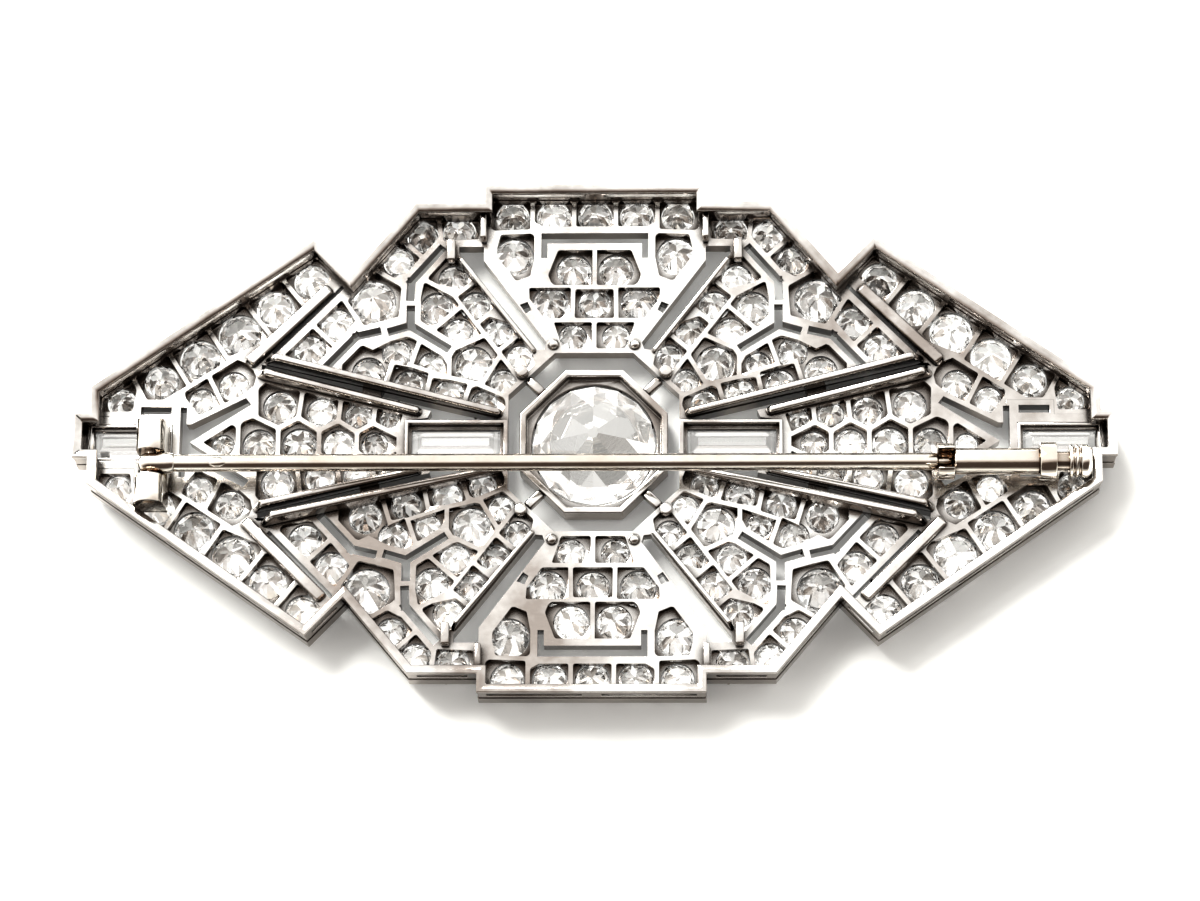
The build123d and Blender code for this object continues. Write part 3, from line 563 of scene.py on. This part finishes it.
def set_baguettes(node, name):
    """Step-cut stones: straight steps down from the girdle to the table and to a narrow keel."""
    shape = bmesh.new()
    for low, high in solids_of(node):
        half = (high - low) / 2
        middle = (low + high) / 2
        crown = (STONE_GIRDLE + CROWN_EXTRA) - low.z
        rings = []
        for level, share in BAGUETTE_STEPS:
            if level <= 1.0:
                z = low.z + level * crown
            else:
                z = low.z + crown + (level - 1.0) / (KEEL_LEVEL - 1.0) * (high.z - low.z - crown)
            wide = half.y * share
            long = half.x - (half.y - wide)
            rings.append([
                shape.verts.new((middle.x + sx * long, middle.y + sy * wide, z))
                for sx, sy in ((-1, -1), (1, -1), (1, 1), (-1, 1))
            ])
        for ring, after in zip(rings, rings[1:]):
            for k in range(4):
                shape.faces.new([ring[k], ring[(k + 1) % 4], after[(k + 1) % 4], after[k]])
        shape.faces.new(rings[0][::-1])
        shape.faces.new(rings[-1])
    finish_stones(name, shape, node, BAGUETTE_DIAMOND)


set_baguettes("inner_baguettes", "inner_step_cuts")
set_baguettes("end_baguettes", "end_step_cuts")


# ---- grains, millegrain, claws and solder ----
def bead_template():
    """The corners and faces of a small round bead of radius 1."""
    shape = bmesh.new()
    bmesh.ops.create_icosphere(shape, subdivisions=2, radius=1.0)
    corners = [v.co.copy() for v in shape.verts]
    faces = [[v.index for v in face.verts] for face in shape.faces]
    shape.free()
    return corners, faces


BEAD = bead_template()


def scatter(name, places, body):
    """One smooth mesh of beads, each given as a matrix."""
    corners, faces = BEAD
    points = []
    loops = []
    for matrix in places:
        start = len(points)
        points += [matrix @ corner for corner in corners]
        loops += [[start + index for index in face] for face in faces]
    mesh = bpy.data.meshes.new(name)
    mesh.from_pydata(points, [], loops)
    mesh.shade_smooth()
    made = bpy.data.objects.new(name, mesh)
    bpy.context.scene.collection.objects.link(made)
    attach(made, body)
    return made


def bead_at(x, y, z, size, turn=0.0, slope=0.0):
    """Millimetres in, a matrix in metres out. size is one radius or three."""
    sizes = (size, size, size) if isinstance(size, (int, float)) else size
    return (
        Matrix.Translation(Vector((x, y, z)) * MM)
        @ Matrix.Rotation(turn, 4, "Z")
        @ Matrix.Rotation(slope, 4, "Y")
        @ Matrix.Diagonal((*[value * MM for value in sizes], 1.0))
    )


def make_grains():
    """Four raised grains hold each small stone on the front."""
    places = []
    for group in ROUND_GROUPS:
        for low, high in solids_of(group):
            radius = (high.x - low.x) / 2 / MM
            middle = (low + high) / 2 / MM
            reach = radius + GRAIN_GAP
            start = random.uniform(0, math.pi / 2)
            for k in range(GRAINS_PER_STONE):
                angle = start + 2 * math.pi * k / GRAINS_PER_STONE
                size = GRAIN_RADIUS * random.uniform(*GRAIN_SPREAD)
                x = middle.x + reach * math.cos(angle)
                y = middle.y + reach * math.sin(angle)
                places.append(bead_at(x, y, PLATE_FRONT, size))
    grains = scatter("front_grains", places, "brooch")
    grains.data.materials.append(PLATINUM)


def full_loop(quarter):
    """A closed clockwise loop from the outline of the quarter where X and Y are positive."""
    right = quarter + [(x, -y) for x, y in quarter[-2::-1]]
    return right + [(-x, y) for x, y in right[-2:0:-1]]


def beads_along(loop, inset, level, radius):
    """Evenly spaced beads just inside a clockwise loop."""
    places = []
    for start, end in zip(loop, loop[1:] + loop[:1]):
        length = math.hypot(end[0] - start[0], end[1] - start[1])
        along = ((end[0] - start[0]) / length, (end[1] - start[1]) / length)
        count = max(1, round(length / MILLEGRAIN_STEP))
        for k in range(count):
            run = length * (k + 0.5) / count
            x = start[0] + run * along[0] + inset * along[1]
            y = start[1] + run * along[1] - inset * along[0]
            places.append(bead_at(x, y, level, radius))
    return places


def make_millegrain():
    """A line of beads along the outline and along the bezel, on the front."""
    places = beads_along(full_loop(QUARTER_OUTLINE), MILLEGRAIN_INSET, PLATE_FRONT, MILLEGRAIN_RADIUS)
    places += beads_along(full_loop(BEZEL_QUARTER), MILLEGRAIN_INSET, BEZEL_FRONT, MILLEGRAIN_RADIUS)
    millegrain = scatter("front_millegrain", places, "brooch")
    millegrain.data.materials.append(PLATINUM)


def make_claws():
    """Eight claws on the front of the bezel reach over the edge of the centre stone."""
    places = []
    for k in range(CUT_SIDES):
        angle = 2 * math.pi * (k + 0.5) / CUT_SIDES
        x = CLAW_PLACE[0] * math.cos(angle)
        y = CLAW_PLACE[0] * math.sin(angle)
        places.append(bead_at(x, y, CLAW_PLACE[1], CLAW_SIZE, angle, CLAW_SLOPE))
    claws = scatter("centre_claws", places, "brooch")
    claws.data.materials.append(PLATINUM)


def make_end_seams():
    """A seam of solder at each end, between the collet and the rim."""
    places = [bead_at(side * SEAM_PLACE[0], *SEAM_PLACE[1:], SEAM_SIZE) for side in (-1, 1)]
    seams = scatter("end_seams", places, "brooch")
    seams.data.materials.append(PLATINUM)


def make_solder():
    """A blob of solder on the stem near its root."""
    solder = scatter("stem_solder", [bead_at(*SOLDER_PLACE, SOLDER_SIZE)], "pin")
    solder.data.materials.append(WHITE_GOLD)


def make_root():
    """The pin's rounded root, turned about the stem, in place of its plain knuckle. It has no bore."""
    shape = bmesh.new()
    rings = []
    for x, radius in ROOT_PROFILE[1:]:
        ring = []
        for k in range(ROOT_STEPS):
            angle = 2 * math.pi * k / ROOT_STEPS
            y = STEM_Y + radius * math.cos(angle)
            z = STEM_LEVEL + radius * math.sin(angle)
            ring.append(shape.verts.new(Vector((x, y, z)) * MM))
        rings.append(ring)
    for ring, after in zip(rings, rings[1:]):
        for k in range(ROOT_STEPS):
            shape.faces.new([ring[k], ring[(k + 1) % ROOT_STEPS], after[(k + 1) % ROOT_STEPS], after[k]])
    tip = shape.verts.new(Vector((ROOT_PROFILE[0][0], STEM_Y, STEM_LEVEL)) * MM)
    for k in range(ROOT_STEPS):
        shape.faces.new([tip, rings[0][(k + 1) % ROOT_STEPS], rings[0][k]])
    shape.faces.new(rings[-1])
    bmesh.ops.recalc_face_normals(shape, faces=shape.faces)
    root = new_object("stem_root", shape)
    root.data.shade_smooth()
    root.data.materials.append(WHITE_GOLD)
    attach(root, "pin")
    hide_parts("pin_knuckle")


make_grains()
make_millegrain()
make_claws()
make_root()
make_end_seams()
make_solder()


# ---- table and light ----
def make_floor():
    """The white table under the jewel, which glows a little as painted light in its shade."""
    shape = bmesh.new()
    bmesh.ops.create_grid(shape, x_segments=1, y_segments=1, size=FLOOR_SIZE / 2)
    floor = new_object("floor", shape)
    material, tree, shader = new_material("white_table")
    place = add(tree, "ShaderNodeTexCoord").outputs["Object"]
    tone = ramp(tree, noise(tree, place, *FLOOR_NOISE), FLOOR_TONES)
    tree.links.new(tone, shader.inputs["Base Color"])
    shader.inputs["Roughness"].default_value = FLOOR_ROUGHNESS
    shader.inputs["Specular IOR Level"].default_value = FLOOR_SHINE
    # painted light: a faint glow lifts the table's shade
    shader.inputs["Emission Color"].default_value = (*FLOOR_PAINTED_LIGHT_COLOUR, 1)
    shader.inputs["Emission Strength"].default_value = FLOOR_PAINTED_LIGHT
    floor.data.materials.append(material)


def sky_colour(tree):
    """Bright overhead and on the far side, warm and dark towards the viewer, with a pale horizon."""
    place = add(tree, "ShaderNodeTexCoord").outputs["Generated"]
    lean = add(tree, "ShaderNodeVectorMath", operation="DOT_PRODUCT")
    lean.inputs[1].default_value = (-SKY_LEAN[0], -SKY_LEAN[1], 0.0)
    tree.links.new(place, lean.inputs[0])
    southness = add(tree, "ShaderNodeMath", operation="MULTIPLY_ADD")
    southness.inputs[1].default_value = 0.5
    southness.inputs[2].default_value = 0.5
    tree.links.new(lean.outputs["Value"], southness.inputs[0])
    stops = [(0.5 + lean_at / 2, tint) for lean_at, tint in SKY_STOPS]
    up = add(tree, "ShaderNodeSeparateXYZ")
    tree.links.new(place, up.inputs[0])
    band = add(tree, "ShaderNodeMix", data_type="RGBA", blend_type="LIGHTEN")
    tree.links.new(ramp(tree, up.outputs["Z"], zip(HORIZON_HEIGHTS, (1, 0))), band.inputs["Factor"])
    tree.links.new(ramp(tree, southness.outputs[0], stops), band.inputs["A"])
    band.inputs["B"].default_value = (*HORIZON, 1)
    return band.outputs["Result"]


def make_sky():
    """The studio's light, and a plain pale backdrop where the camera sees past the table."""
    world = bpy.data.worlds.new("studio")
    bpy.context.scene.world = world
    world.use_nodes = True
    tree = world.node_tree
    light = tree.nodes["Background"]
    light.inputs["Strength"].default_value = SKY_STRENGTH
    tree.links.new(sky_colour(tree), light.inputs["Color"])
    seen = add(tree, "ShaderNodeBackground")
    seen.inputs["Color"].default_value = (*BACKDROP, 1)
    either = add(tree, "ShaderNodeMixShader")
    tree.links.new(add(tree, "ShaderNodeLightPath").outputs["Is Camera Ray"], either.inputs["Fac"])
    tree.links.new(light.outputs[0], either.inputs[1])
    tree.links.new(seen.outputs[0], either.inputs[2])
    tree.links.new(either.outputs[0], tree.nodes["World Output"].inputs["Surface"])


def make_key():
    """One large soft lamp from the upper left."""
    lamp = bpy.data.lights.new("key", "AREA")
    lamp.shape = "SQUARE"
    lamp.size = KEY_SIZE
    lamp.energy = KEY_POWER
    lamp.color = KEY_COLOUR
    key = bpy.data.objects.new("key", lamp)
    bpy.context.scene.collection.objects.link(key)
    key.location = KEY_PLACE
    key.rotation_euler = (-KEY_PLACE).to_track_quat("-Z", "Y").to_euler()


def make_camera():
    """The photograph's camera, turned a little about its line of sight."""
    lens = bpy.data.cameras.new("camera")
    lens.sensor_width = CAMERA_SENSOR
    lens.lens = CAMERA_LENS
    lens.clip_start, lens.clip_end = CAMERA_CLIP
    camera = bpy.data.objects.new("camera", lens)
    bpy.context.scene.collection.objects.link(camera)
    back = Vector((
        math.sin(CAMERA_AZIMUTH) * math.cos(CAMERA_ELEVATION),
        -math.cos(CAMERA_AZIMUTH) * math.cos(CAMERA_ELEVATION),
        math.sin(CAMERA_ELEVATION),
    ))
    level = Vector((math.cos(CAMERA_AZIMUTH), math.sin(CAMERA_AZIMUTH), 0.0))
    upright = back.cross(level)
    right = math.cos(CAMERA_ROLL) * level + math.sin(CAMERA_ROLL) * upright
    up = back.cross(right)
    turn = Matrix((right, up, back)).transposed().to_4x4()
    camera.matrix_world = Matrix.Translation(CAMERA_TARGET + CAMERA_DISTANCE * back) @ turn
    bpy.context.scene.camera = camera


make_floor()
make_sky()
make_key()
make_camera()
bpy.context.scene.view_settings.view_transform = "Standard"
bpy.context.scene.view_settings.exposure = EXPOSURE
bpy.context.scene.view_settings.gamma = GAMMA
bpy.context.scene.cycles.max_bounces = LIGHT_BOUNCES
bpy.context.scene.cycles.transmission_bounces = LIGHT_BOUNCES
bpy.context.scene.cycles.caustics_reflective = False
